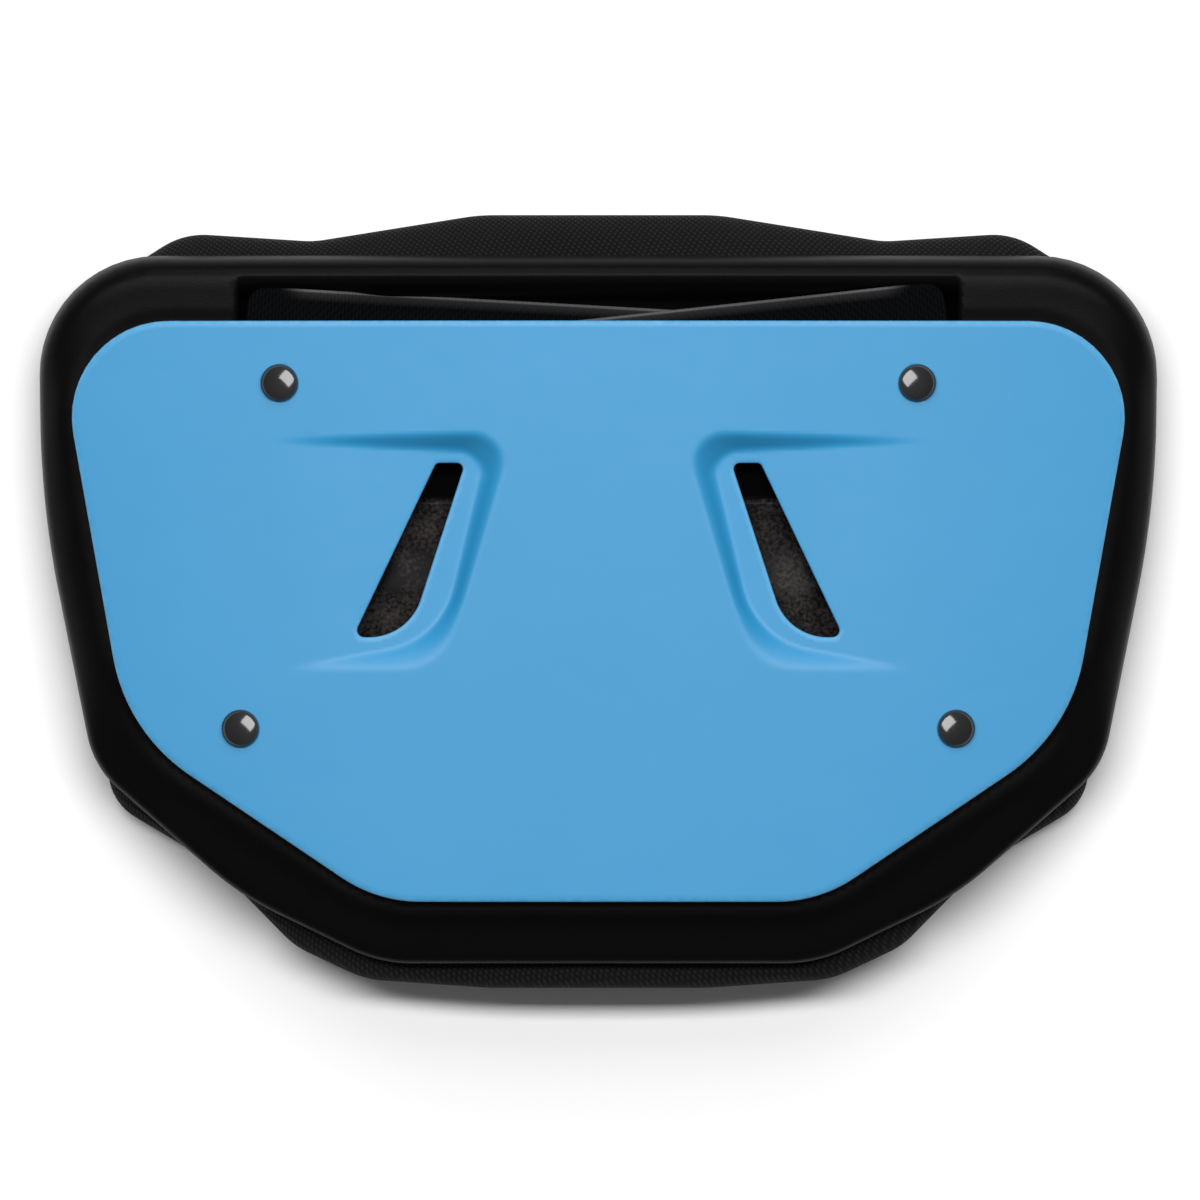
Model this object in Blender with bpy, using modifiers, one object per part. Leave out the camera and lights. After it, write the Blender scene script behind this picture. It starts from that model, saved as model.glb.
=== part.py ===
"""Football back plate: a riveted plastic plate on a foam carrier, with a mesh lining pad and two straps.

It lies on its lining. X runs across the wearer's back, Y up it and Z out of it, in metres, and the
origin is on the resting surface under the middle of the whole thing.
"""

import math

import bmesh
import bpy
from mathutils import Matrix, Vector

# Body sizes
WRAP_RADIUS = 0.700
CARRIER_WIDTH = 0.3504
CARRIER_HEIGHT = 0.2218
CARRIER_THICKNESS = 0.0160
PAD_THICKNESS = 0.0130
HOLLOW_DEPTH = 0.0165
PAD_TOP_PROUD = 0.0128
PAD_BOTTOM_PROUD = 0.0078
PAD_SIDE_INSET = 0.0050
PLATE_THICKNESS = 0.0030
RIM_SIDE = 0.0102
RIM_TOP = 0.0205
RIM_BOTTOM = 0.0194

# Clearances between pieces
FIT_GAP = 0.0003
BED_GAP = 0.0006
SEAT_DEPTH = 0.0005
SEAT_MARGIN = 0.0006
STRAP_END_GAP = 0.0022

# Rivets
RIVET_HEAD_DIAMETER = 0.0120
RIVET_HEAD_HEIGHT = 0.0034
RIVET_SHANK_DIAMETER = 0.0050
RIVET_TAIL_DIAMETER = 0.0090
RIVET_TAIL_THICKNESS = 0.0012
UPPER_RIVET_FROM_RECESS_END = 0.0137
UPPER_RIVET_BELOW_EDGE = 0.0195
LOWER_RIVET_FROM_SIDE = 0.0530
LOWER_RIVET_BELOW_EDGE = 0.1277

# Scoops and vents
SCOOP_DEPTH = 0.0050
SCOOP_HEIGHT = 0.0752
SCOOP_LENGTH = 0.0780
SCOOP_BELOW_EDGE = 0.0335
SCOOP_FROM_MIDDLE = 0.0267
VENT_HEIGHT = 0.0544
VENT_WIDTH = 0.0347
VENT_BELOW_EDGE = 0.0443
VENT_FROM_MIDDLE = 0.0423

# Hollows in the carrier
RECESS_END_FROM_SIDE = 0.0617
RECESS_DEPTH = 0.0128
RECESS_ABOVE_EDGE = 0.0146
RECESS_BELOW_EDGE = 0.0558
RECESS_DRAFT = 0.0050
BASIN_DEPTH = 0.0066
BASIN_MARGIN = 0.0030

# Straps
STRAP_WIDTH = 0.0380
STRAP_THICKNESS = 0.0020
STRAP_PAST_MIDDLE = 0.0487
STRAP_CORNER = 0.0060
STRAP_RISE = 0.0118
STRAP_DIP_START = 0.0160
STRAP_DIP_RUN = 0.0300
LEFT_STRAP_SLOPE = 3.2
RIGHT_STRAP_SLOPE = 6.2

# Fineness of the meshes
RING_POINTS = 112
ARC_STEPS = 9
WRAP_STEPS = 28
STRAP_STEPS = 20
RIVET_SIDES = 16
HEAD_STEPS = 4
SCREW_MERGE = 0.00001

# Most of an edge that the rounding of one corner may take
MOST_OF_EDGE = 0.48

# Corners of each outline's right half before rounding, top to bottom.
# Columns: x as a share of the half width, y as a share of the height from the bottom, radius share.
PLATE_CORNERS = (
    (1.0360, 1.000, 0.183),
    (0.8960, 0.291, 0.340),
    (0.4190, 0.000, 0.267),
)
CARRIER_CORNERS = (
    (1.0040, 1.000, 0.228),
    (0.9980, 0.647, 1.700),
    (0.9040, 0.277, 0.171),
    (0.6410, 0.096, 0.570),
    (0.3920, 0.000, 0.257),
)
PAD_CORNERS = (
    (0.2200, 1.000, 0.350),
    (0.5250, 0.966, 0.180),
    (0.7650, 0.977, 0.140),
    (1.0050, 0.870, 0.180),
    (0.9960, 0.690, 0.800),
    (0.8960, 0.238, 0.100),
    (0.7090, 0.160, 0.060),
    (0.5600, 0.054, 0.150),
    (0.4300, 0.011, 0.180),
    (0.2000, 0.000, 0.500),
)

# Rim of the carrier, from its outer edge in to the plate.
# Columns: way in from edge to plate, height share at sides and bottom, height share at the top.
RIM_PROFILE = (
    (0.00, 0.28, 0.36),
    (0.05, 0.38, 0.62),
    (0.14, 0.48, 0.86),
    (0.30, 0.62, 0.98),
    (0.58, 0.84, 1.00),
    (0.82, 0.96, 1.00),
    (1.00, 1.00, 1.00),
)
# Heights, as shares of the carrier's height, between which the rim turns into the top ridge.
RIDGE_BLEND = (0.80, 0.96)

# Round edge of the pad, from its parting line in.
# Columns: scale of the outline, share of the half thickness.
PAD_EDGE = (
    (1.000, 0.00),
    (0.992, 0.46),
    (0.972, 0.76),
    (0.935, 0.94),
    (0.880, 1.00),
)
# Scales of the rings inside a broad face and inside the plate's seat, out to in.
INNER_SCALES = (0.66, 0.44, 0.22)
SEAT_SCALES = (0.84, 0.68, 0.52, 0.36, 0.18)

# Places along a strap's round corner, as shares of it
STRAP_CORNER_SHARES = (0.0, 0.12, 0.4, 1.0)

# Left scoop and vent, corners in turn from the lower outer one.
# Columns: way in from the outer end, height from the bottom, radius, all as shares of length or height.
SCOOP_MOUTH = (
    (0.055, 0.000, 0.00),
    (0.730, 0.015, 0.20),
    (1.000, 1.000, 0.12),
    (0.000, 0.962, 0.00),
)
SCOOP_FLOOR = (
    (0.055, 0.005, 0.00),
    (0.690, 0.150, 0.15),
    (0.875, 0.920, 0.07),
    (0.000, 0.955, 0.00),
)
VENT_CORNERS = (
    (0.000, 0.000, 0.050),
    (0.560, 0.050, 0.220),
    (1.000, 1.000, 0.035),
    (0.720, 1.000, 0.035),
)

# Heights and levels worked out from the sizes, at the middle of the wrap
PAD_FRONT = HOLLOW_DEPTH + PAD_THICKNESS
CARRIER_BACK = PAD_FRONT + BED_GAP
CARRIER_FRONT = CARRIER_BACK + CARRIER_THICKNESS
SEAT_LEVEL = CARRIER_FRONT - SEAT_DEPTH
PLATE_BACK = SEAT_LEVEL + FIT_GAP
PLATE_FRONT = PLATE_BACK + PLATE_THICKNESS
CLEAR_ABOVE = PLATE_FRONT + 2 * RIVET_HEAD_HEIGHT
CLEAR_BELOW = -PAD_THICKNESS

PAD_HEIGHT = PAD_BOTTOM_PROUD + CARRIER_HEIGHT + PAD_TOP_PROUD
PAD_TOP = PAD_HEIGHT / 2
PAD_BOTTOM = -PAD_HEIGHT / 2
PAD_HALF_WIDTH = CARRIER_WIDTH / 2 - PAD_SIDE_INSET
CARRIER_TOP = PAD_TOP - PAD_TOP_PROUD
CARRIER_BOTTOM = PAD_BOTTOM + PAD_BOTTOM_PROUD
PLATE_TOP = CARRIER_TOP - RIM_TOP
PLATE_BOTTOM = CARRIER_BOTTOM + RIM_BOTTOM
PLATE_HALF_WIDTH = CARRIER_WIDTH / 2 - RIM_SIDE
RECESS_REACH = CARRIER_WIDTH / 2 - RECESS_END_FROM_SIDE
UPPER_RIVET_X = RECESS_REACH - UPPER_RIVET_FROM_RECESS_END
LOWER_RIVET_X = PLATE_HALF_WIDTH - LOWER_RIVET_FROM_SIDE
STRAP_START_X = RECESS_REACH - STRAP_END_GAP
STRAP_LENGTH = STRAP_START_X + STRAP_PAST_MIDDLE
UPPER_RIVET_Y = PLATE_TOP - UPPER_RIVET_BELOW_EDGE
LOWER_RIVET_Y = PLATE_TOP - LOWER_RIVET_BELOW_EDGE
RECESS_TOP = PLATE_TOP + RECESS_ABOVE_EDGE
RECESS_BOTTOM = PLATE_TOP - RECESS_BELOW_EDGE
SCOOP_TOP = PLATE_TOP - SCOOP_BELOW_EDGE
SCOOP_BOTTOM = SCOOP_TOP - SCOOP_HEIGHT

# Name, side and place of each rivet
RIVETS = (
    ("rivet_upper_left", -UPPER_RIVET_X, UPPER_RIVET_Y),
    ("rivet_upper_right", UPPER_RIVET_X, UPPER_RIVET_Y),
    ("rivet_lower_left", -LOWER_RIVET_X, LOWER_RIVET_Y),
    ("rivet_lower_right", LOWER_RIVET_X, LOWER_RIVET_Y),
)


def clear_scene():
    for obj in list(bpy.data.objects):
        bpy.data.objects.remove(obj, do_unlink=True)


def collection_named(name):
    made = bpy.data.collections.new(name)
    bpy.context.scene.collection.children.link(made)
    return made


def material(name, color, roughness, metallic=0.0):
    made = bpy.data.materials.new(name)
    made.use_nodes = True
    shader = made.node_tree.nodes["Principled BSDF"]
    shader.inputs["Base Color"].default_value = (*color, 1.0)
    shader.inputs["Roughness"].default_value = roughness
    shader.inputs["Metallic"].default_value = metallic
    return made


def add_object(name, mesh, collection):
    made = bpy.data.objects.new(name, mesh)
    collection.objects.link(made)
    return made


def add_cutter(name, mesh, collection):
    made = add_object(name, mesh, collection)
    made.hide_render = True
    made.display_type = "WIRE"
    return made


def boolean(obj, operation, other):
    step = obj.modifiers.new(operation.title() + " " + other.name, "BOOLEAN")
    step.operation = operation
    step.object = other


def drop(x):
    """How far the wrapped body falls away at x from its middle."""
    return WRAP_RADIUS - math.sqrt(WRAP_RADIUS**2 - x * x)


def wrap_angle(x):
    """The tilt about Y of the wrapped body's face at x."""
    return math.asin(x / WRAP_RADIUS)


def wrapped(point, level):
    """The plan point at a level, with the wrap's fall taken off."""
    return Vector((point.x, point.y, level - drop(point.x)))


def smooth_step(value, low, high):
    share = min(max((value - low) / (high - low), 0.0), 1.0)
    return share * share * (3 - 2 * share)


def corner_arc(before, corner, after, radius):
    """The arc that rounds one corner, with its radius limited by the two edges."""
    back = before - corner
    ahead = after - corner
    half_angle = back.angle(ahead) / 2
    reach = min(radius / math.tan(half_angle), MOST_OF_EDGE * min(back.length, ahead.length))
    start = corner + back.normalized() * reach
    bisector = (back.normalized() + ahead.normalized()).normalized()
    middle = corner + bisector * reach / math.cos(half_angle)
    end = corner + ahead.normalized() * reach
    first = start - middle
    last = end - middle
    turn = math.atan2(first.cross(last), first.dot(last))
    points = []
    for step in range(ARC_STEPS + 1):
        angle = turn * step / ARC_STEPS
        points.append(middle + Matrix.Rotation(angle, 2) @ first)
    return points


def rounded(corners, radii):
    """A closed outline: the polygon with each corner rounded where its radius isn't zero."""
    points = []
    for index, corner in enumerate(corners):
        if radii[index] == 0:
            points.append(corner)
            continue
        after = corners[(index + 1) % len(corners)]
        points += corner_arc(corners[index - 1], corner, after, radii[index])
    return points


def symmetric_outline(table, half_width, bottom, top):
    """A closed outline that starts at its top's middle, from the corners of its right half."""
    right = []
    radii = []
    for x_share, y_share, radius_share in table:
        right.append(Vector((x_share * half_width, bottom + y_share * (top - bottom))))
        radii.append(radius_share * half_width)
    left = [Vector((-corner.x, corner.y)) for corner in reversed(right)]
    return [Vector((0, top))] + rounded(right + left, radii + radii[::-1])


def resampled(outline, count):
    """The closed outline as points at equal steps along it."""
    closed = outline + outline[:1]
    lengths = [(b - a).length for a, b in zip(closed, closed[1:])]
    step = sum(lengths) / count
    points = []
    edge = 0
    passed = 0.0
    for index in range(count):
        target = index * step
        while passed + lengths[edge] < target:
            passed += lengths[edge]
            edge += 1
        share = (target - passed) / lengths[edge]
        points.append(closed[edge].lerp(closed[edge + 1], share))
    return points


def grown(outline, distance):
    """The closed outline moved outwards by a distance."""
    centre = sum(outline, Vector((0, 0))) / len(outline)
    points = []
    for index, point in enumerate(outline):
        along = outline[(index + 1) % len(outline)] - outline[index - 1]
        normal = Vector((along.y, -along.x)).normalized()
        if normal.dot(point - centre) < 0:
            normal.negate()
        points.append(point + normal * distance)
    return points


def mesh_from(name, bm):
    bmesh.ops.recalc_face_normals(bm, faces=bm.faces)
    mesh = bpy.data.meshes.new(name)
    bm.to_mesh(mesh)
    bm.free()
    return mesh


def loft(name, loops, centres=None):
    """A closed mesh through loops of equal counts. The ends are fans to centres, or flat faces."""
    bm = bmesh.new()
    rings = [[bm.verts.new(point) for point in loop] for loop in loops]
    count = len(rings[0])
    for lower, upper in zip(rings, rings[1:]):
        for index in range(count):
            other = (index + 1) % count
            bm.faces.new((lower[index], lower[other], upper[other], upper[index]))
    for place, ring in enumerate((rings[0], rings[-1])):
        if centres is None:
            bm.faces.new(ring)
            continue
        centre = bm.verts.new(centres[place])
        for index in range(count):
            bm.faces.new((ring[index], ring[(index + 1) % count], centre))
    return mesh_from(name, bm)


def upright_prism(name, outline):
    """The outline as a tall closed prism, past every piece above and below."""
    low = [Vector((point.x, point.y, CLEAR_BELOW)) for point in outline]
    high = [Vector((point.x, point.y, CLEAR_ABOVE)) for point in outline]
    return loft(name, (low, high))


def arched_bar(name, half_length, section):
    """A bar along X that follows the wrap. The section lists y and level, in turn."""
    loops = []
    for step in range(WRAP_STEPS + 1):
        x = half_length * (2 * step / WRAP_STEPS - 1)
        loops.append([wrapped(Vector((x, y)), level) for y, level in section])
    return loft(name, loops)


def plate_outline(grow=0.0):
    outline = symmetric_outline(PLATE_CORNERS, PLATE_HALF_WIDTH, PLATE_BOTTOM, PLATE_TOP)
    return grown(outline, grow) if grow else outline


def rivet_matrix(x, y, level):
    """The frame of a rivet, its Z square to the wrapped body."""
    turn = Matrix.Rotation(wrap_angle(x), 4, "Y")
    radius = WRAP_RADIUS - PLATE_FRONT + level
    middle = Vector((0, y, PLATE_FRONT - WRAP_RADIUS))
    return Matrix.Translation(middle) @ turn @ Matrix.Translation((0, 0, radius))


def cylinder(name, radius, low, high):
    bm = bmesh.new()
    place = Matrix.Translation((0, 0, (low + high) / 2))
    bmesh.ops.create_cone(
        bm,
        cap_ends=True,
        segments=RIVET_SIDES,
        radius1=radius,
        radius2=radius,
        depth=high - low,
        matrix=place,
    )
    return mesh_from(name, bm)


def rivet_cutters(cutters):
    """Shank holes through every piece, and pockets for the tails in the carrier's back."""
    hole_radius = RIVET_SHANK_DIAMETER / 2 + FIT_GAP
    pocket_radius = RIVET_TAIL_DIAMETER / 2 + FIT_GAP
    depth = PLATE_FRONT - CARRIER_BACK
    hole = cylinder("shank_hole", hole_radius, -2 * depth, depth)
    pocket_top = -depth + RIVET_TAIL_THICKNESS + 2 * FIT_GAP
    pocket = cylinder("tail_pocket", pocket_radius, -2 * depth, pocket_top)
    holes = {}
    pockets = {}
    for name, x, y in RIVETS:
        place = rivet_matrix(x, y, PLATE_FRONT)
        holes[name] = add_cutter(name + "_hole", hole, cutters)
        holes[name].matrix_world = place
        pockets[name] = add_cutter(name + "_pocket", pocket, cutters)
        pockets[name].matrix_world = place
    return holes, pockets


def rivet_profile():
    """Half section of a rivet, from the top of its dome down to its tail's middle."""
    head = RIVET_HEAD_DIAMETER / 2
    shank = RIVET_SHANK_DIAMETER / 2
    tail = RIVET_TAIL_DIAMETER / 2
    tail_bottom = CARRIER_BACK - PLATE_FRONT + FIT_GAP
    tail_top = tail_bottom + RIVET_TAIL_THICKNESS
    points = []
    for step in range(HEAD_STEPS + 1):
        angle = math.pi / 2 * step / HEAD_STEPS
        points.append((head * math.sin(angle), FIT_GAP + RIVET_HEAD_HEIGHT * math.cos(angle)))
    points += [(shank, FIT_GAP), (shank, tail_top), (tail, tail_top), (tail, tail_bottom)]
    points.append((0.0, tail_bottom))
    return points


def make_rivets(parts, finish):
    bm = bmesh.new()
    verts = [bm.verts.new((x, 0, z)) for x, z in rivet_profile()]
    for first, second in zip(verts, verts[1:]):
        bm.edges.new((first, second))
    mesh = bpy.data.meshes.new("rivet")
    bm.to_mesh(mesh)
    bm.free()
    mesh.materials.append(finish)
    for name, x, y in RIVETS:
        rivet = add_object(name, mesh, parts)
        rivet.matrix_world = rivet_matrix(x, y, PLATE_FRONT)
        turned = rivet.modifiers.new("Turn", "SCREW")
        turned.steps = RIVET_SIDES
        turned.render_steps = RIVET_SIDES
        turned.use_merge_vertices = True
        turned.merge_threshold = SCREW_MERGE
        turned.use_smooth_shade = True


def scoop_point(x_share, y_share):
    x = -SCOOP_FROM_MIDDLE - SCOOP_LENGTH * (1 - x_share)
    return Vector((x, SCOOP_BOTTOM + y_share * SCOOP_HEIGHT))


def scoop_outline(table, grow):
    """The scoop's outline, run on past its open outer end and grown on its other sides."""
    corners = [scoop_point(x_share, y_share) for x_share, y_share, _ in table]
    radii = [radius * SCOOP_HEIGHT for _, _, radius in table]
    run_on = Vector((-2 * PLATE_THICKNESS, 0))
    outline = rounded(corners, radii)
    if grow:
        outline = grown(outline, grow)
    outline[0] = outline[0] + run_on
    outline[-1] = outline[-1] + run_on
    return outline


def scoop_floor_level(x, lowered):
    """The scoop's flat floor: level with the plate at its outer end, and deepest at its inner end."""
    outer = scoop_point(0, 0).x
    inner = scoop_point(SCOOP_FLOOR[2][0], 0).x
    start = PLATE_FRONT - drop(outer)
    end = PLATE_FRONT - drop(inner) - SCOOP_DEPTH
    return start + (end - start) * (x - outer) / (inner - outer) - lowered


def scoop_solid(name, lowered, top_level, outer_lift):
    """The pressed scoop as a solid: its hollow, or with lowered set the boss that it forms behind."""
    floor = []
    for point in scoop_outline(SCOOP_FLOOR, lowered):
        floor.append(Vector((point.x, point.y, scoop_floor_level(point.x, lowered))))
    mouth = [wrapped(point, top_level) for point in scoop_outline(SCOOP_MOUTH, lowered)]
    for outer_end in (mouth[0], mouth[-1]):
        outer_end.z += outer_lift
    return loft(name, (floor, mouth))


def mirrored(mesh):
    """A copy of the mesh on the other side of the middle."""
    made = mesh.copy()
    made.transform(Matrix.Scale(-1, 4, (1, 0, 0)))
    made.flip_normals()
    return made


def vent_outline():
    outer = -VENT_FROM_MIDDLE - VENT_WIDTH
    bottom = PLATE_TOP - VENT_BELOW_EDGE - VENT_HEIGHT
    corners = []
    for x_share, y_share, _ in VENT_CORNERS:
        corners.append(Vector((outer + x_share * VENT_WIDTH, bottom + y_share * VENT_HEIGHT)))
    return rounded(corners, [radius * VENT_HEIGHT for _, _, radius in VENT_CORNERS])


def make_plate(parts, cutters, holes, finish):
    reach = CARRIER_WIDTH / 2
    section = (
        (PLATE_BOTTOM - RIM_BOTTOM, PLATE_BACK),
        (PLATE_TOP + RIM_TOP, PLATE_BACK),
        (PLATE_TOP + RIM_TOP, PLATE_FRONT),
        (PLATE_BOTTOM - RIM_BOTTOM, PLATE_FRONT),
    )
    plate = add_object("outer_plate", arched_bar("outer_plate", reach, section), parts)
    plate.data.materials.append(finish)
    prism = add_cutter("plate_edge", upright_prism("plate_edge", plate_outline()), cutters)
    boolean(plate, "INTERSECT", prism)
    middle_level = PLATE_BACK + PLATE_THICKNESS / 2
    boss = scoop_solid("scoop_boss", PLATE_THICKNESS, middle_level, 0.0)
    hollow = scoop_solid("scoop_hollow", 0.0, PLATE_FRONT + FIT_GAP, PLATE_THICKNESS)
    vent = upright_prism("vent", vent_outline())
    for operation, mesh in (("UNION", boss), ("DIFFERENCE", hollow), ("DIFFERENCE", vent)):
        for side, shape in (("left", mesh), ("right", mirrored(mesh))):
            boolean(plate, operation, add_cutter(mesh.name + "_" + side, shape, cutters))
    for hole in holes.values():
        boolean(plate, "DIFFERENCE", hole)
    even = plate.modifiers.new("Even shading", "WEIGHTED_NORMAL")
    even.keep_sharp = True
    return plate


def rim_height(sides, top, point):
    """Height share of the carrier's rim: its side profile turns into the ridge near the top."""
    up = (point.y - CARRIER_BOTTOM) / CARRIER_HEIGHT
    blend = smooth_step(up, *RIDGE_BLEND)
    return sides + (top - sides) * blend


def carrier_loops():
    """Rings of the carrier, from its back's middle out to its edge, then in over its rim and its seat."""
    outer = symmetric_outline(CARRIER_CORNERS, CARRIER_WIDTH / 2, CARRIER_BOTTOM, CARRIER_TOP)
    outer = resampled(outer, RING_POINTS)
    inner = resampled(plate_outline(SEAT_MARGIN), RING_POINTS)
    loops = []
    for scale in reversed(INNER_SCALES):
        loops.append([wrapped(point * scale, CARRIER_BACK) for point in outer])
    loops.append([wrapped(point * PAD_EDGE[-1][0], CARRIER_BACK) for point in outer])
    loops.append([wrapped(point, CARRIER_BACK) for point in outer])
    for share_in, sides, top in RIM_PROFILE:
        loop = []
        for start, end in zip(outer, inner):
            height = rim_height(sides, top, start)
            level = CARRIER_BACK + height * CARRIER_THICKNESS
            loop.append(wrapped(start.lerp(end, share_in), level))
        loops.append(loop)
    for scale in (1.0, *SEAT_SCALES):
        loops.append([wrapped(point * scale, SEAT_LEVEL) for point in inner])
    return loops


def carrier_cutters(cutters):
    """The strap recess, and the basin that the scoops stand in."""
    floor = PLATE_BACK - RECESS_DEPTH
    recess_section = (
        (RECESS_BOTTOM, floor),
        (RECESS_TOP - RECESS_DRAFT, floor),
        (RECESS_TOP, CARRIER_FRONT - RECESS_DRAFT),
        (RECESS_TOP, CLEAR_ABOVE),
        (RECESS_BOTTOM, CLEAR_ABOVE),
    )
    recess = add_cutter("recess", arched_bar("recess", RECESS_REACH, recess_section), cutters)
    basin_bottom = SCOOP_BOTTOM - PLATE_THICKNESS - BASIN_MARGIN
    basin_section = (
        (basin_bottom, PLATE_BACK - BASIN_DEPTH),
        (RECESS_BOTTOM + FIT_GAP, PLATE_BACK - BASIN_DEPTH),
        (RECESS_BOTTOM + FIT_GAP, CLEAR_ABOVE),
        (basin_bottom, CLEAR_ABOVE),
    )
    basin_reach = SCOOP_FROM_MIDDLE + SCOOP_LENGTH + PLATE_THICKNESS + BASIN_MARGIN
    basin = add_cutter("basin", arched_bar("basin", basin_reach, basin_section), cutters)
    return recess, basin


def make_carrier(parts, cutters, holes, pockets, finish):
    centres = (Vector((0, 0, CARRIER_BACK)), Vector((0, 0, SEAT_LEVEL)))
    mesh = loft("foam_carrier", carrier_loops(), centres)
    carrier = add_object("foam_carrier", mesh, parts)
    carrier.data.materials.append(finish)
    for cutter in carrier_cutters(cutters):
        boolean(carrier, "DIFFERENCE", cutter)
    for cutter in list(holes.values()) + list(pockets.values()):
        boolean(carrier, "DIFFERENCE", cutter)
    return carrier


def pad_point(point, level):
    """A point of the pad, flattened where it would go below the surface that it rests on."""
    placed = wrapped(point, level)
    placed.z = max(placed.z, 0.0)
    return placed


def make_pad(parts, finish):
    outline = symmetric_outline(PAD_CORNERS, PAD_HALF_WIDTH, PAD_BOTTOM, PAD_TOP)
    outline = resampled(outline, RING_POINTS)
    half = PAD_THICKNESS / 2
    middle = HOLLOW_DEPTH + half
    scales = [(scale, 1.0) for scale in reversed(INNER_SCALES)] + list(reversed(PAD_EDGE))
    loops = []
    for scale, height in scales:
        loops.append([pad_point(point * scale, middle - height * half) for point in outline])
    for scale, height in reversed(scales[:-1]):
        loops.append([pad_point(point * scale, middle + height * half) for point in outline])
    centres = (Vector((0, 0, HOLLOW_DEPTH)), Vector((0, 0, PAD_FRONT)))
    pad = add_object("mesh_pad", loft("mesh_pad", loops, centres), parts)
    pad.data.materials.append(finish)
    return pad


def strap_half_width(along):
    """Half the strap's width, narrowed over its rounded corners at either end."""
    from_end = min(along, STRAP_LENGTH - along)
    short = max(STRAP_CORNER - from_end, 0.0)
    return STRAP_WIDTH / 2 - STRAP_CORNER + math.sqrt(STRAP_CORNER**2 - short**2)


def strap_stations():
    """Distances along the strap: close together in its round corners, even between them."""
    corner = [STRAP_CORNER * share for share in STRAP_CORNER_SHARES]
    middle = STRAP_LENGTH - 2 * STRAP_CORNER
    even = [STRAP_CORNER + middle * step / STRAP_STEPS for step in range(1, STRAP_STEPS)]
    return corner + even + [STRAP_LENGTH - along for along in reversed(corner)]


def strap_mesh(name, side, slope, lowest):
    """A flat strap from its rivet inwards. It starts close under the plate and dips to its lowest."""
    angle = math.radians(slope)
    inwards = Vector((-side * math.cos(angle), -math.sin(angle)))
    across = Vector((-inwards.y, inwards.x)) * -side
    rivet = Vector((side * UPPER_RIVET_X, UPPER_RIVET_Y))
    start = rivet + across * STRAP_RISE - inwards * (STRAP_START_X - UPPER_RIVET_X)
    loops = []
    for along in strap_stations():
        centre = start + inwards * along
        half = strap_half_width(along)
        dip = smooth_step(along - STRAP_DIP_START, 0, STRAP_DIP_RUN)
        top = PLATE_BACK - FIT_GAP - (lowest - FIT_GAP) * dip
        low_edge = centre - across * half
        high_edge = centre + across * half
        corners = (low_edge, high_edge, high_edge, low_edge)
        levels = (top - STRAP_THICKNESS, top - STRAP_THICKNESS, top, top)
        loops.append([wrapped(corner, level) for corner, level in zip(corners, levels)])
    return loft(name, loops)


def make_straps(parts, holes, finish):
    """Both straps pass under the scoops, and the right one lies on the left one."""
    under_scoops = SCOOP_DEPTH + BED_GAP
    under_right = under_scoops + STRAP_THICKNESS + BED_GAP
    rows = (
        ("strap_left", -1, LEFT_STRAP_SLOPE, under_right, "rivet_upper_left"),
        ("strap_right", 1, RIGHT_STRAP_SLOPE, under_scoops, "rivet_upper_right"),
    )
    for name, side, slope, lowest, rivet in rows:
        strap = add_object(name, strap_mesh(name, side, slope, lowest), parts)
        strap.data.materials.append(finish)
        boolean(strap, "DIFFERENCE", holes[rivet])


def shade_smooth(objects):
    for obj in objects:
        obj.data.shade_smooth()
        obj.data.set_sharp_from_angle(angle=math.radians(35))


def main():
    clear_scene()
    parts = collection_named("football_back_plate")
    cutters = collection_named("cutters")
    plastic = material("sky_blue_plastic", (0.095, 0.366, 0.658), 0.30)
    foam = material("black_foam", (0.012, 0.011, 0.011), 0.55)
    mesh_cloth = material("black_mesh_cloth", (0.018, 0.016, 0.017), 0.85)
    webbing = material("black_webbing", (0.020, 0.019, 0.020), 0.60)
    black_cap = material("black_rivet", (0.010, 0.010, 0.011), 0.18)
    holes, pockets = rivet_cutters(cutters)
    plate = make_plate(parts, cutters, holes, plastic)
    carrier = make_carrier(parts, cutters, holes, pockets, foam)
    pad = make_pad(parts, mesh_cloth)
    make_straps(parts, holes, webbing)
    make_rivets(parts, black_cap)
    shade_smooth((plate, carrier, pad))


main()
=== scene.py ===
import math

import bmesh
import bpy
import numpy as np
from mathutils import Matrix, Vector
from mathutils.geometry import delaunay_2d_cdt


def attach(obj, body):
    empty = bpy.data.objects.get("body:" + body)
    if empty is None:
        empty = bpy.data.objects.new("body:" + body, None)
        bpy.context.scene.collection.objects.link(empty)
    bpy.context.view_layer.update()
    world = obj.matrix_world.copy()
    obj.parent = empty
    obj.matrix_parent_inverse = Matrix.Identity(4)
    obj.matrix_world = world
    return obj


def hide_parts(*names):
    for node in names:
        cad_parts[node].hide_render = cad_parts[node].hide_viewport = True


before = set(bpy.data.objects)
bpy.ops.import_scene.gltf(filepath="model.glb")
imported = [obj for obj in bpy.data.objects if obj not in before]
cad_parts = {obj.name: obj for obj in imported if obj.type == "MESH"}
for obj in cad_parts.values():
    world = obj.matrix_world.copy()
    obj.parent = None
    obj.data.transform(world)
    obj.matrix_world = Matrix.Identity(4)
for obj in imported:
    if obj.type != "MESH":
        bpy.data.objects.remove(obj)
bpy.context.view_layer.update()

BODY = "root"

# The photograph: metres a pixel at the plate, and the pixel over the origin
PIXEL = 0.0003128
IMAGE_WIDTH = 1200
ORIGIN_PIXEL = (598.3, 601.5)

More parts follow.
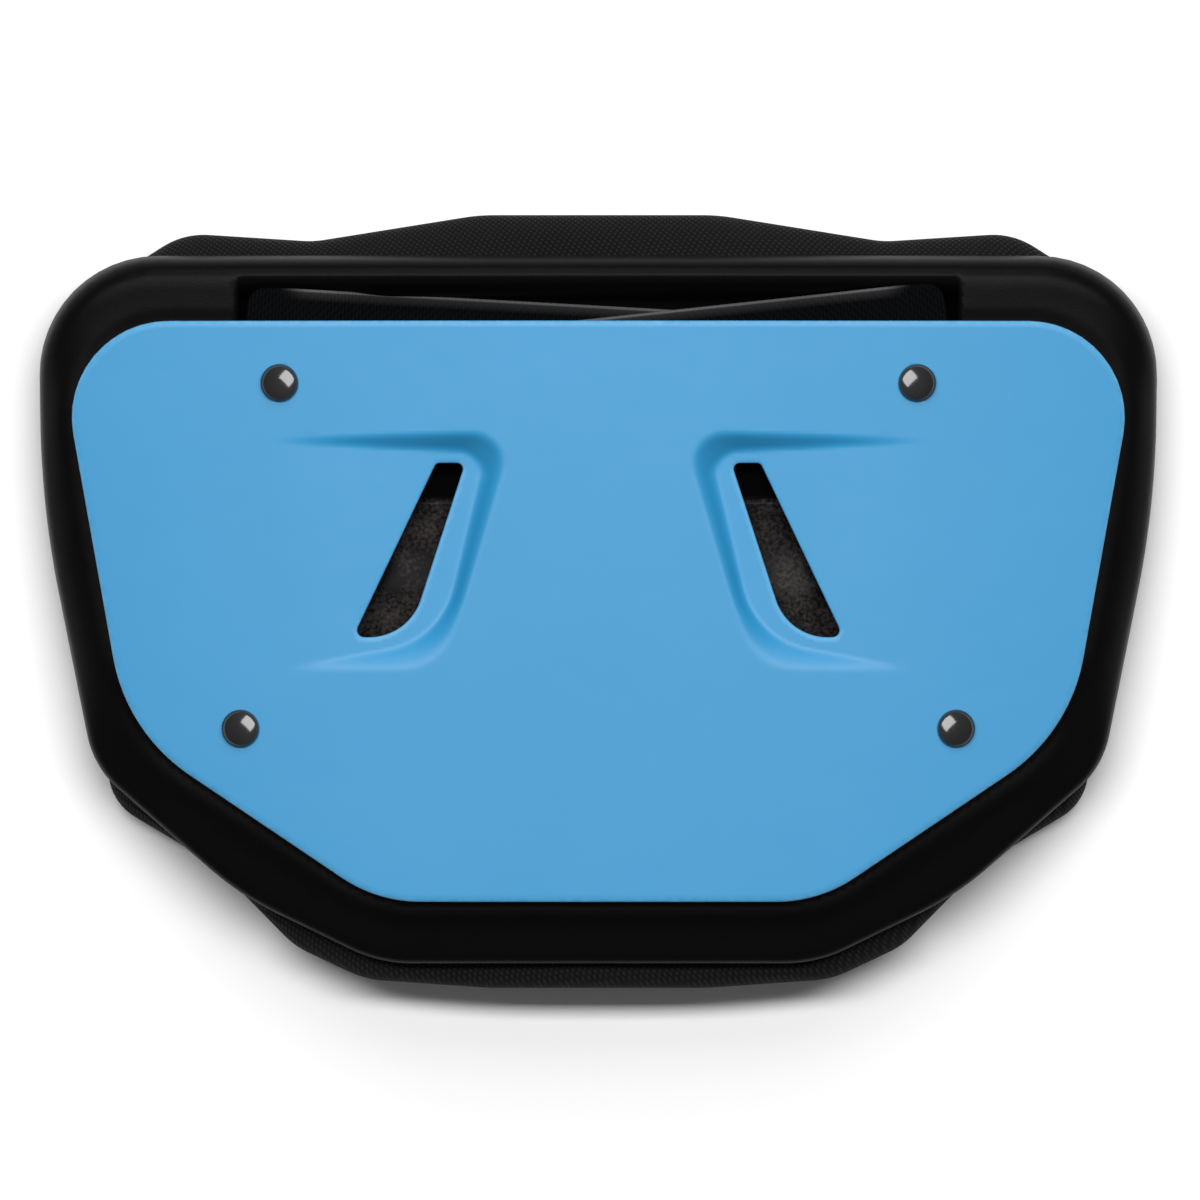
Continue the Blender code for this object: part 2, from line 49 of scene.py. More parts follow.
# Body sizes, as in the solids
WRAP_RADIUS = 0.700
CARRIER_HALF_WIDTH = 0.1752
CARRIER_THICKNESS = 0.0160
CARRIER_TOP = 0.1084
CARRIER_BOTTOM = -0.1134
CARRIER_BACK = 0.0301
PAD_HALF_WIDTH = 0.1702
PAD_TOP = 0.1212
PAD_BOTTOM = -0.1212
PAD_HALF_THICKNESS = 0.0065
PAD_MIDDLE = 0.0230
PLATE_HALF_WIDTH = 0.1650
PLATE_TOP = 0.0879
PLATE_BOTTOM = -0.0940
PLATE_FRONT = 0.0489
PLATE_THICKNESS = 0.0030
CARRIER_FRONT = CARRIER_BACK + CARRIER_THICKNESS
PLATE_BACK = PLATE_FRONT - PLATE_THICKNESS

# Plate
PLATE_EDGE_ROUND = 0.0011
PLATE_BACK_ROUND = 0.0004
VENT_EDGE_ROUND = 0.0007
SCOOP_DEPTH = 0.0058
SCOOP_RUN_ON = 24
SCOOP_START = 0.40
SCOOP_MARGIN = 0.0015
PLATE_EDGE_WAYS = (0.00018, 0.0005, 0.0011, 0.0022)
VENT_EDGE_WAYS = (0.00012, 0.00035, 0.0007)
# Painted highlight: the plate is painted paler along its rounded edges and, over a narrower band, along
# its vent edges.
VENT_HIGHLIGHT_SCALE = 1.6
PLATE_EDGE_HIGHLIGHT = (0.0002, 0.0016)

# Foam carrier
SEAT_MARGIN = 0.0006
SEAT_DEPTH = 0.0005
RECESS_REACH = 0.1135
RECESS_TOP = 0.1025
RECESS_BOTTOM = 0.0321
RECESS_DEPTH = 0.0128
RECESS_TOP_SLOPE = 0.0105
RECESS_END_SLOPE = 0.0010
BASIN_REACH = 0.1107
BASIN_BOTTOM = -0.0268
BASIN_DEPTH = 0.0076
BASIN_SLOPE = 0.0012
BASIN_TOP = RECESS_BOTTOM + 0.0002
BASIN_HEAD = 0.0200
BASIN_WAVE = 0.0006
RECESS_TOP_CURVES = (0.60, 0.30)
# Painted shade: the strap recess's floor is painted near black, rising over these depth shares.
RECESS_SHADE = (0.15, 0.85)
SEAT_RUN = 0.0030
CARRIER_BACK_ROUND = 0.0010
CARRIER_EDGE_WAYS = (0.0002, 0.0006, 0.0012, 0.0022)
# Painted highlight along the carrier's outer edge, over this band in from it.
CARRIER_EDGE_HIGHLIGHT = (0.0003, 0.0016)

# Mesh pad
PAD_ROUND = 1.3 * PAD_HALF_THICKNESS
PAD_ROUND_STEPS = (14, 28, 42, 56, 70, 84)
PAD_RIPPLE = 0.00035
SEAM_WAY = 0.0135
SEAM_HALF_WIDTH = 0.0014
SEAM_DEPTH = 0.0016

# Straps
STRAP_WIDTH = 0.0380
STRAP_THICKNESS = 0.0020
STRAP_LENGTH = 0.1600
STRAP_PAST_RIVET = 0.0115
STRAP_CORNER = 0.0060
STRAP_CORNER_SHARES = (0.0, 0.05, 0.15, 0.3, 0.5, 0.75, 1.0)
STRAP_FLAT_SHARES = (0.8, 0.5, 0.2, -0.2, -0.5, -0.8)
# Painted highlight along each strap's edges, between these distances in from the edge.
STRAP_EDGE_LINE = (0.0012, 0.0005)
STRAP_RISES = {"left": 0.0108, "right": 0.0120}
STRAP_DIP_START = 0.0160
STRAP_DIP_RUN = 0.0300
STRAP_CLEAR = 0.0003
# The painted edge highlight fades in over this run from the strap's end.
STRAP_HIGHLIGHT_FADE = (0.010, 0.020)
STRAP_LEVELS = {"left": 0.0082, "right": 0.0056}
STRAP_SLOPES = {"left": 3.2, "right": 6.2}

# Rivets
RIVET_HEAD_RADIUS = 0.0060
RIVET_HEAD_HEIGHT = 0.0034
RIVET_SHANK_RADIUS = 0.0025
RIVET_HOLE_RADIUS = 0.0028
RIVET_TAIL_RADIUS = 0.0045
RIVET_TAIL_THICKNESS = 0.0012
RIVET_CLEAR = 0.0003
RIVET_RIM = 0.0001
RIVET_TAIL_BEVEL = 0.0003
UPPER_RIVET = (0.0998, 0.0684)
LOWER_RIVET = (0.1120, -0.0398)

# Fineness of the meshes
ARC_STEPS = 12
OUTLINE_STEP = 0.0016
VENT_STEP = 0.0006
RECESS_STEP = 0.0020
PLATE_SPACING = 0.0030
SCOOP_SPACING = 0.0011
CARRIER_SPACING = 0.0020
PAD_SPACING = 0.0030
STRAP_ROWS = 75
STRAP_EDGE_STEPS = 8
RIVET_HOLE_SIDES = 28
RIVET_SIDES = 56
DOME_STEPS = 12

# Corners of each outline's right half before rounding, top to bottom.
# Columns: x as a share of the half width, y as a share of the height from the bottom, radius share.
PLATE_CORNERS = (
    (1.0360, 1.000, 0.183),
    (0.8960, 0.291, 0.340),
    (0.4190, 0.000, 0.267),
)
CARRIER_CORNERS = (
    (1.0040, 1.000, 0.228),
    (0.9980, 0.647, 1.700),
    (0.9040, 0.277, 0.171),
    (0.6410, 0.096, 0.570),
    (0.3920, 0.000, 0.257),
)
PAD_CORNERS = (
    (0.2200, 1.000, 0.350),
    (0.5250, 0.966, 0.180),
    (0.7650, 0.977, 0.140),
    (1.0050, 0.870, 0.180),
    (0.9960, 0.690, 0.800),
    (0.8960, 0.238, 0.100),
    (0.7090, 0.160, 0.060),
    (0.5600, 0.054, 0.150),
    (0.4300, 0.011, 0.180),
    (0.2000, 0.000, 0.500),
)

# Curved shares of a scoop's walls. Columns: at the lip, at the floor.
UPPER_WALL = (0.30, 0.10)
INNER_WALL = (0.50, 0.45)
LOWER_WALL = (0.80, 0.08)
UPPER_WALL_PIXELS = (452, 478)
LOWER_WALL_PIXELS = (590, 645)

# Left scoop and vent in the photograph's pixels: corner across, corner down and radius.
SCOOP_MOUTH_PIXELS = ((264, 440, 0), (519, 429, 34), (443, 671, 52), (278, 673, 0))
SCOOP_FLOOR_PIXELS = ((264, 440.5, 0), (482, 452, 20), (440, 641, 84), (278, 673, 0))
VENT_PIXELS = ((436, 463, 5), (465, 463, 6), (408, 638, 54), (353, 637, 7))

# Rim of the carrier. Columns: way in from edge to plate, height at the bottom, at the sides, at the top.
RIM_PROFILE = (
    (0.00, 0.26, 0.28, 0.36),
    (0.03, 0.36, 0.44, 0.54),
    (0.07, 0.41, 0.54, 0.72),
    (0.14, 0.44, 0.62, 0.88),
    (0.25, 0.47, 0.71, 0.97),
    (0.40, 0.51, 0.80, 1.00),
    (0.52, 0.54, 0.86, 1.00),
    (0.64, 0.58, 0.91, 1.00),
    (0.76, 0.65, 0.95, 1.00),
    (0.88, 0.77, 0.98, 1.00),
    (0.95, 0.88, 0.99, 1.00),
    (1.00, 1.00, 1.00, 1.00),
)
SHOULDER_BLEND = (0.22, 0.46)
RIDGE_BLEND = (0.80, 0.96)


def drop(x):
    """How far the wrapped body falls away at x from its middle."""
    return WRAP_RADIUS - np.sqrt(WRAP_RADIUS**2 - x * x)


def smooth_step(value, low, high):
    share = np.clip((value - low) / (high - low), 0.0, 1.0)
    return share * share * (3 - 2 * share)


def eased(share, start, end):
    """A ramp from 0 to 1 that is straight in its middle and curved over its start and end shares."""
    slope = 1 / (1 - (start + end) / 2)
    low = slope * share**2 / (2 * start)
    middle = slope * (share - start / 2)
    high = 1 - slope * (1 - share) ** 2 / (2 * end)
    return np.where(share < start, low, np.where(share > 1 - end, high, middle))


def rounding(distance, radius):
    """How far a rounded edge falls at a distance in from it."""
    short = np.clip(radius - distance, 0.0, radius)
    return radius - np.sqrt(radius**2 - short**2)


# Outlines


def corner_arc(before, corner, after, radius, most):
    back = before - corner
    ahead = after - corner
    half_angle = back.angle(ahead) / 2
    reach = min(radius / math.tan(half_angle), most * min(back.length, ahead.length))
    start = corner + back.normalized() * reach
    bisector = (back.normalized() + ahead.normalized()).normalized()
    middle = corner + bisector * reach / math.cos(half_angle)
    end = corner + ahead.normalized() * reach
    first = start - middle
    last = end - middle
    turn = math.atan2(first.cross(last), first.dot(last))
    turns = [Matrix.Rotation(turn * step / ARC_STEPS, 2) for step in range(ARC_STEPS + 1)]
    return [middle + rotation @ first for rotation in turns]


def rounded(corners, radii, most=0.48):
    """A closed outline: the polygon with its corners rounded, each over at most a share of its edges."""
    points = []
    for index, corner in enumerate(corners):
        if radii[index] == 0:
            points.append(corner)
            continue
        after = corners[(index + 1) % len(corners)]
        points += corner_arc(corners[index - 1], corner, after, radii[index], most)
    return np.array(points)


def symmetric_outline(table, half_width, bottom, top):
    right = []
    radii = []
    for x_share, y_share, radius_share in table:
        right.append(Vector((x_share * half_width, bottom + y_share * (top - bottom))))
        radii.append(radius_share * half_width)
    left = [Vector((-corner.x, corner.y)) for corner in reversed(right)]
    return rounded(right + left, radii + radii[::-1])


def resampled(outline, step):
    """The closed outline as points at even steps along it."""
    closed = np.vstack([outline, outline[:1]])
    lengths = np.linalg.norm(np.diff(closed, axis=0), axis=1)
    along = np.concatenate([[0.0], np.cumsum(lengths)])
    count = max(int(round(along[-1] / step)), 12)
    places = np.arange(count) * along[-1] / count
    columns = [np.interp(places, along, closed[:, axis]) for axis in (0, 1)]
    return np.stack(columns, 1)


def turned_left(outline):
    """Plus one where the outline runs counterclockwise, minus one where it doesn't."""
    ahead = np.roll(outline, -1, axis=0)
    area = np.sum(outline[:, 0] * ahead[:, 1] - ahead[:, 0] * outline[:, 1])
    return 1.0 if area > 0 else -1.0


def moved_in(outline, distance):
    along = np.roll(outline, -1, axis=0) - np.roll(outline, 1, axis=0)
    normal = np.stack([-along[:, 1], along[:, 0]], 1)
    normal /= np.linalg.norm(normal, axis=1)[:, None]
    return outline + normal * distance * turned_left(outline)


def circle(centre, radius, count):
    angles = np.arange(count) * 2 * math.pi / count
    return np.stack([np.cos(angles), np.sin(angles)], 1) * radius + np.array(centre)


def pixel_point(across, down):
    return Vector(((across - ORIGIN_PIXEL[0]) * PIXEL, (ORIGIN_PIXEL[1] - down) * PIXEL))


def pixel_outline(table, run_on=0):
    """The outline in metres of a table in pixels. Its first and last corners may run on outwards."""
    corners = []
    radii = []
    for index, (across, down, radius) in enumerate(table):
        out = run_on if index in (0, len(table) - 1) else 0
        corners.append(pixel_point(across - out, down))
        radii.append(radius * PIXEL)
    return rounded(corners, radii, 0.85)


def mirrored(outline):
    return outline * np.array((-1.0, 1.0))


# Distances on the plan


def gap_to(points, outline):
    """Distance from each point to the closed outline."""
    best = np.full(len(points), np.inf)
    for start, end in zip(outline, np.roll(outline, -1, axis=0)):
        along = end - start
        length = along @ along
        share = np.clip(((points - start) @ along) / length, 0, 1) if length > 0 else 0.0
        away = points - start - np.multiply.outer(share, along)
        best = np.minimum(best, np.einsum("ij,ij->i", away, away))
    return np.sqrt(best)


def inside(points, outline):
    crossed = np.zeros(len(points), bool)
    for start, end in zip(outline, np.roll(outline, -1, axis=0)):
        rise = end[1] - start[1]
        if rise == 0:
            continue
        spans = (start[1] > points[:, 1]) != (end[1] > points[:, 1])
        where = start[0] + (points[:, 1] - start[1]) * (end[0] - start[0]) / rise
        crossed ^= spans & (points[:, 0] < where)
    return crossed


def way_in(points, outline):
    """Distance in from the outline, below zero outside it."""
    gap = gap_to(points, outline)
    return np.where(inside(points, outline), gap, -gap)


# Meshes over a plan


def lattice(outline, spacing):
    """Points in even triangles over the outline's box."""
    low = outline.min(0)
    high = outline.max(0)
    rows = int((high[1] - low[1]) / (spacing * 0.866)) + 1
    columns = int((high[0] - low[0]) / spacing) + 2
    across, up = np.meshgrid(np.arange(columns), np.arange(rows))
    x = low[0] + (across + 0.5 * (up % 2)) * spacing
    y = low[1] + up * spacing * 0.866
    return np.stack([x.ravel(), y.ravel()], 1)


def everywhere(points):
    return np.ones(len(points), bool)


def clear_lattice(outline, loops, spacing, keep):
    """Lattice points inside the outline where keep allows them, and clear of every loop."""
    points = lattice(outline, spacing)
    points = points[inside(points, outline)]
    points = points[keep(points)]
    for loop in loops:
        points = points[gap_to(points, loop) > 0.55 * spacing]
    return points


def plan_of(outline, holes, loops, lattices):
    """Flat triangles inside the outline and outside the holes. Every loop's edges are kept."""
    every = [outline, *holes, *loops]
    points = np.vstack([*every, *lattices])
    edges = []
    first = 0
    for loop in every:
        count = len(loop)
        edges += [(first + index, first + (index + 1) % count) for index in range(count)]
        first += count
    found = delaunay_2d_cdt([Vector(point) for point in points], edges, [], 0, 1e-7, False)
    plan = np.array([tuple(point) for point in found[0]])
    faces = np.array([face for face in found[2] if len(face) == 3])
    middles = plan[faces].mean(1)
    wanted = inside(middles, outline)
    for hole in holes:
        wanted &= ~inside(middles, hole)
    faces = faces[wanted]
    used, places = np.unique(faces, return_inverse=True)
    return plan[used], places.reshape(-1, 3)


def open_edges(faces):
    """The directed edges that only one triangle has."""
    edges = np.concatenate([faces[:, [0, 1]], faces[:, [1, 2]], faces[:, [2, 0]]])
    known = {tuple(edge) for edge in edges}
    return [edge for edge in known if (edge[1], edge[0]) not in known]


def thick_mesh(name, plan, faces, top, bottom):
    """A closed mesh between two height fields over one plan."""
    count = len(plan)
    verts = np.vstack([np.column_stack([plan, top]), np.column_stack([plan, bottom])])
    first, second, third = plan[faces[:, 0]], plan[faces[:, 1]], plan[faces[:, 2]]
    side = second - first
    other = third - first
    flipped = side[:, 0] * other[:, 1] - side[:, 1] * other[:, 0] < 0
    faces = np.where(flipped[:, None], faces[:, ::-1], faces)
    every = [tuple(face) for face in faces]
    every += [tuple(face) for face in faces[:, ::-1] + count]
    for start, end in open_edges(faces):
        every.append((end, start, start + count, end + count))
    mesh = bpy.data.meshes.new(name)
    mesh.from_pydata([tuple(vert) for vert in verts], [], every)
    bm = bmesh.new()
    bm.from_mesh(mesh)
    bmesh.ops.remove_doubles(bm, verts=bm.verts, dist=1e-6)
    bm.to_mesh(mesh)
    bm.free()
    mesh.shade_smooth()
    return mesh


def add_number(mesh, name, values):
    """A number at each vertex, for the material to read."""
    layer = mesh.attributes.new(name, "FLOAT", "POINT")
    layer.data.foreach_set("value", np.asarray(values, np.float32))


def vertices_of(mesh):
    places = np.zeros(len(mesh.vertices) * 3, np.float32)
    mesh.vertices.foreach_get("co", places)
    return places.reshape(-1, 3).astype(float)


def add_piece(name, mesh, finish, slot, *nodes):
    piece = bpy.data.objects.new(name, mesh)
    bpy.context.scene.collection.objects.link(piece)
    mesh.materials.append(finish)
    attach(piece, BODY)
    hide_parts(*nodes)
    return piece


# Outlines of the pieces

plate_outline = symmetric_outline(PLATE_CORNERS, PLATE_HALF_WIDTH, PLATE_BOTTOM, PLATE_TOP)
plate_outline = resampled(plate_outline, OUTLINE_STEP)
carrier_outline = symmetric_outline(CARRIER_CORNERS, CARRIER_HALF_WIDTH, CARRIER_BOTTOM, CARRIER_TOP)
carrier_outline = resampled(carrier_outline, OUTLINE_STEP)
pad_outline = symmetric_outline(PAD_CORNERS, PAD_HALF_WIDTH, PAD_BOTTOM, PAD_TOP)
pad_outline = resampled(pad_outline, OUTLINE_STEP)
scoop_mouth = pixel_outline(SCOOP_MOUTH_PIXELS, SCOOP_RUN_ON)
scoop_floor = pixel_outline(SCOOP_FLOOR_PIXELS, SCOOP_RUN_ON)
vent = resampled(pixel_outline(VENT_PIXELS), VENT_STEP)


# Plate


def scoop_ramp(points):
    """Share of the scoop's full depth at each point: none at its outer end, all at its inner end."""
    upper, lower = (pixel_point(*SCOOP_MOUTH_PIXELS[index][:2]) for index in (0, -1))
    down = (upper[1] - points[:, 1]) / (upper[1] - lower[1])
    outer = upper[0] + (lower[0] - upper[0]) * down
    inner = (SCOOP_FLOOR_PIXELS[1][0] - ORIGIN_PIXEL[0]) * PIXEL
    way = np.clip((points[:, 0] - outer) / (inner - outer), 0.0, 1.2)
    soft = np.where(way < SCOOP_START, way**2 / (2 * SCOOP_START), way - SCOOP_START / 2)
    return soft / (1 - SCOOP_START / 2)


def scoop_depth(points):
    """How deep the pressed scoops are at each point of the plate."""
    left = np.stack([-np.abs(points[:, 0]), points[:, 1]], 1)
    in_mouth = way_in(left, scoop_mouth)
    off_floor = np.maximum(-way_in(left, scoop_floor), 0.0)
    share = np.clip(in_mouth / np.maximum(in_mouth + off_floor, 1e-9), 0.0, 1.0)
    down = ORIGIN_PIXEL[1] - left[:, 1] / PIXEL
    upper = 1 - smooth_step(down, *UPPER_WALL_PIXELS)
    lower = smooth_step(down, *LOWER_WALL_PIXELS)
    lip, fillet = (
        UPPER_WALL[side] * upper + LOWER_WALL[side] * lower + INNER_WALL[side] * (1 - upper - lower)
        for side in (0, 1)
    )
    return SCOOP_DEPTH * scoop_ramp(left) * eased(share, lip, fillet)


def rivet_places():
    places = []
    for level, (x, y) in (("upper", UPPER_RIVET), ("lower", LOWER_RIVET)):
        places.append(("rivet_" + level + "_left", -x, y))
        places.append(("rivet_" + level + "_right", x, y))
    return places


def plate_plan():
    holes = [vent, mirrored(vent)]
    loops = [moved_in(plate_outline, way) for way in PLATE_EDGE_WAYS]
    for hole in holes:
        loops += [moved_in(hole, -way) for way in VENT_EDGE_WAYS]
    for _, x, y in rivet_places():
        holes.append(circle((x, y), RIVET_HOLE_RADIUS, RIVET_HOLE_SIDES))
    near = moved_in(scoop_mouth, -SCOOP_MARGIN)
    edges = [plate_outline, *loops, *holes]

    def by_scoop(points):
        left = np.stack([-np.abs(points[:, 0]), points[:, 1]], 1)
        return inside(left, near)

    outer = clear_lattice(plate_outline, edges, PLATE_SPACING, lambda points: ~by_scoop(points))
    inner = clear_lattice(plate_outline, edges, SCOOP_SPACING, by_scoop)
    inner = inner[~inside(inner, vent) & ~inside(inner, mirrored(vent))]
    return plan_of(plate_outline, holes, loops, [outer, inner])


def make_plate(finish):
    plan, faces = plate_plan()
    edge = np.abs(way_in(plan, plate_outline))
    by_vent = np.minimum(gap_to(plan, vent), gap_to(plan, mirrored(vent)))
    sunk = scoop_depth(plan) + drop(plan[:, 0])
    top = PLATE_FRONT - sunk - rounding(edge, PLATE_EDGE_ROUND)
    top -= rounding(by_vent, VENT_EDGE_ROUND)
    bottom = PLATE_BACK - sunk + rounding(edge, PLATE_BACK_ROUND)
    mesh = thick_mesh("outer_plate_shell", plan, faces, top, bottom)
    # The "edge" number marks a painted highlight along the plate's edges and vent edges.
    places = vertices_of(mesh)[:, :2]
    nearest = gap_to(places, plate_outline)
    for hole in (vent, mirrored(vent)):
        nearest = np.minimum(nearest, VENT_HIGHLIGHT_SCALE * gap_to(places, hole))
    add_number(mesh, "edge", 1 - smooth_step(nearest, *PLATE_EDGE_HIGHLIGHT))
    return add_piece("outer_plate_shell", mesh, finish, "sky_blue_plastic", "outer_plate")


# Foam carrier


def hollow_depths(points):
    """Depth below the seat of the strap recess and of the basin under the scoops."""
    top_way = RECESS_TOP - points[:, 1]
    top_share = np.clip(top_way / RECESS_TOP_SLOPE, 0, 1)
    end_share = np.clip((RECESS_REACH - np.abs(points[:, 0])) / RECESS_END_SLOPE, 0, 1)
    low_share = np.clip((points[:, 1] - RECESS_BOTTOM) / RECESS_END_SLOPE, 0, 1)
    recess = RECESS_DEPTH * eased(top_share, *RECESS_TOP_CURVES) * end_share * low_share
    side_share = np.clip((BASIN_REACH - np.abs(points[:, 0])) / BASIN_SLOPE, 0, 1)
    foot_share = np.clip((points[:, 1] - BASIN_BOTTOM) / BASIN_SLOPE, 0, 1)
    head_share = np.clip((RECESS_TOP - BASIN_HEAD - points[:, 1]) / BASIN_HEAD, 0, 1)
    wave = BASIN_WAVE * np.sin(points[:, 1] * 210 + 1.1) * np.cos(points[:, 0] * 45)
    basin = (BASIN_DEPTH + wave) * side_share * foot_share * head_share
    return np.maximum(recess, basin)


def rim_heights(points):
    """Height of the carrier above its back outside the plate's seat, as a share of its thickness."""
    seat = moved_in(plate_outline, -SEAT_MARGIN)
    out = np.maximum(way_in(points, carrier_outline), 0.0)
    off_seat = np.maximum(-way_in(points, seat), 0.0)
    share = out / np.maximum(out + off_seat, 1e-9)
    ways, lows, sides, tops = (np.array(column) for column in zip(*RIM_PROFILE))
    up = (points[:, 1] - CARRIER_BOTTOM) / (CARRIER_TOP - CARRIER_BOTTOM)
    low = 1 - smooth_step(up, *SHOULDER_BLEND)
    high = smooth_step(up, *RIDGE_BLEND)
    heights = np.interp(share, ways, sides) * (1 - low - high)
    return heights + np.interp(share, ways, lows) * low + np.interp(share, ways, tops) * high


def recess_loops():
    loops = []
    for way in (0.0, RECESS_END_SLOPE):
        reach = RECESS_REACH - way
        foot = RECESS_BOTTOM + way
        head = RECESS_TOP - way
        corners = [(-reach, foot), (reach, foot), (reach, head), (-reach, head)]
        loops.append(resampled(np.array(corners), RECESS_STEP))
    return loops


def carrier_plan():
    loops = [moved_in(carrier_outline, way) for way in CARRIER_EDGE_WAYS]
    loops += recess_loops()
    edges = [carrier_outline, *loops]
    points = clear_lattice(carrier_outline, edges, CARRIER_SPACING, everywhere)
    return plan_of(carrier_outline, [], loops, [points])


def in_basin(places):
    """Whether each vertex is on the basin's floor, where the foam is cut."""
    across = np.abs(places[:, 0]) < BASIN_REACH - BASIN_SLOPE
    up = (places[:, 1] > BASIN_BOTTOM + BASIN_SLOPE) & (places[:, 1] < BASIN_TOP)
    return across & up & (places[:, 2] > CARRIER_BACK)


def make_carrier(finish):
    plan, faces = carrier_plan()
    seat = moved_in(plate_outline, -SEAT_MARGIN)
    by_plate = smooth_step(way_in(plan, seat), -SEAT_RUN, 0.0)
    level = CARRIER_BACK + CARRIER_THICKNESS * rim_heights(plan) - SEAT_DEPTH * by_plate
    edge = np.abs(way_in(plan, carrier_outline))
    top = level - hollow_depths(plan) - drop(plan[:, 0])
    bottom = CARRIER_BACK - drop(plan[:, 0]) + rounding(edge, CARRIER_BACK_ROUND)
    mesh = thick_mesh("foam_carrier_body", plan, faces, top, bottom)
    places = vertices_of(mesh)
    flat = places[:, :2]
    # This number paints the strap recess near black, as shade.
    painted_recess_shade = (hollow_depths(flat) - BASIN_DEPTH) / (RECESS_DEPTH - BASIN_DEPTH)
    add_number(mesh, "painted_recess_shade", smooth_step(painted_recess_shade, *RECESS_SHADE))
    add_number(mesh, "cut", in_basin(places))
    # The "edge" number marks a painted highlight along the carrier's outer edge.
    gap = gap_to(flat, carrier_outline)
    add_number(mesh, "edge", 1 - smooth_step(gap, *CARRIER_EDGE_HIGHLIGHT))
    return add_piece("foam_carrier_body", mesh, finish, "black_foam", "foam_carrier")


# Mesh pad


def pad_plan():
    ways = PAD_ROUND * (1 - np.cos(np.radians(PAD_ROUND_STEPS)))
    loops = [moved_in(pad_outline, way) for way in ways]
    points = clear_lattice(pad_outline, [pad_outline, *loops], PAD_SPACING, everywhere)
    return plan_of(pad_outline, [], loops, [points])


def make_pad(finish):
    plan, faces = pad_plan()
    way = np.abs(way_in(plan, pad_outline))
    puff = np.sqrt(1 - np.clip(1 - way / PAD_ROUND, 0, 1) ** 2) ** 0.9
    middle = PAD_MIDDLE - drop(plan[:, 0])
    ripple = PAD_RIPPLE * np.sin(plan[:, 0] * 95 + 2.1 * np.sin(plan[:, 1] * 40)) * puff
    top = middle + PAD_HALF_THICKNESS * puff + ripple
    seam = SEAM_DEPTH * np.exp(-(((way - SEAM_WAY) / SEAM_HALF_WIDTH) ** 2))
    bottom = np.maximum(middle - PAD_HALF_THICKNESS * puff + seam + ripple, 0.0)
    top = np.maximum(top, bottom + 0.0000005)
    mesh = thick_mesh("mesh_pad_lining", plan, faces, top, bottom)
    pad = add_piece("mesh_pad_lining", mesh, finish, "black_mesh_cloth", "mesh_pad")
    return pad


# Straps


def strap_half_width(along):
    from_end = min(along, STRAP_LENGTH - along)
    short = max(STRAP_CORNER - from_end, 0.0)
    return STRAP_WIDTH / 2 - STRAP_CORNER + math.sqrt(STRAP_CORNER**2 - short**2)


def strap_section(half):
    """Half points round the strap's section: flat faces and round edges. Columns: across, up."""
    points = []
    radius = STRAP_THICKNESS / 2
    flats = [half * share for share in STRAP_FLAT_SHARES]
    for across in [half - radius, *flats]:
        points.append((across, radius))
    for step in range(STRAP_EDGE_STEPS + 1):
        angle = math.pi / 2 + math.pi * step / STRAP_EDGE_STEPS
        points.append((-half + radius + radius * math.cos(angle), radius * math.sin(angle)))
    for across in reversed(flats):
        points.append((across, -radius))
    for step in range(STRAP_EDGE_STEPS):
        angle = -math.pi / 2 + math.pi * step / STRAP_EDGE_STEPS
        points.append((half - radius + radius * math.cos(angle), radius * math.sin(angle)))
    return points


def strap_stations():
    """Distances along the strap: close together at its rounded corners, even between them."""
    corner = [STRAP_CORNER * share for share in STRAP_CORNER_SHARES]
    even = np.linspace(STRAP_CORNER, STRAP_LENGTH - STRAP_CORNER, STRAP_ROWS + 1)[1:-1]
    return corner + list(even) + [STRAP_LENGTH - along for along in reversed(corner)]


def strap_height(side_name, along):
    """Height of the strap's middle line at the body's middle: it dips from the plate to its level."""
    dip = float(smooth_step(along - STRAP_DIP_START, 0, STRAP_DIP_RUN))
    under_plate = PLATE_BACK - STRAP_CLEAR - STRAP_THICKNESS / 2
    return under_plate - (STRAP_LEVELS[side_name] - STRAP_CLEAR) * dip


def add_face(bm, layer, corners):
    """A face over these corners, each a vertex and its place on the weave."""
    face = bm.faces.new([vert for vert, _ in corners])
    for loop, (_, place) in zip(face.loops, corners):
        loop[layer].uv = place


def make_strap(side_name, finish):
    side = -1 if side_name == "left" else 1
    angle = math.radians(STRAP_SLOPES[side_name])
    inwards = Vector((-side * math.cos(angle), -math.sin(angle)))
    across = Vector((-inwards.y, inwards.x)) * -side
    rivet = Vector((side * UPPER_RIVET[0], UPPER_RIVET[1]))
    start = rivet + across * STRAP_RISES[side_name] - inwards * STRAP_PAST_RIVET
    bm = bmesh.new()
    layer = bm.loops.layers.uv.new("weave")
    rings = []
    edges = []
    for along in strap_stations():
        centre = start + inwards * along
        middle = strap_height(side_name, along)
        # The painted edge highlight fades in from the strap's end.
        highlight_fade = float(smooth_step(along, *STRAP_HIGHLIGHT_FADE))
        half = strap_half_width(along)
        line = [half - way for way in STRAP_EDGE_LINE]
        ring = []
        for way, up in strap_section(half):
            edges.append(highlight_fade * float(smooth_step(abs(way), *line)))
            point = centre + across * way
            vert = bm.verts.new((point.x, point.y, middle + up - float(drop(point.x))))
            ring.append((vert, (way, along)))
        rings.append(ring)
    for lower, upper in zip(rings, rings[1:]):
        for index in range(len(lower)):
            other = (index + 1) % len(lower)
            add_face(bm, layer, (lower[index], lower[other], upper[other], upper[index]))
    for ring in (rings[0], rings[-1]):
        add_face(bm, layer, ring)
    bmesh.ops.recalc_face_normals(bm, faces=bm.faces)
    mesh = bpy.data.meshes.new("strap_" + side_name + "_webbing")
    bm.to_mesh(mesh)
    bm.free()
    # The "edge" number marks a painted highlight along the strap's edges.
    add_number(mesh, "edge", edges)
    mesh.shade_smooth()
    mesh.set_sharp_from_angle(angle=math.radians(50))
    return add_piece(mesh.name, mesh, finish, "black_webbing", "strap_" + side_name)


# Rivets


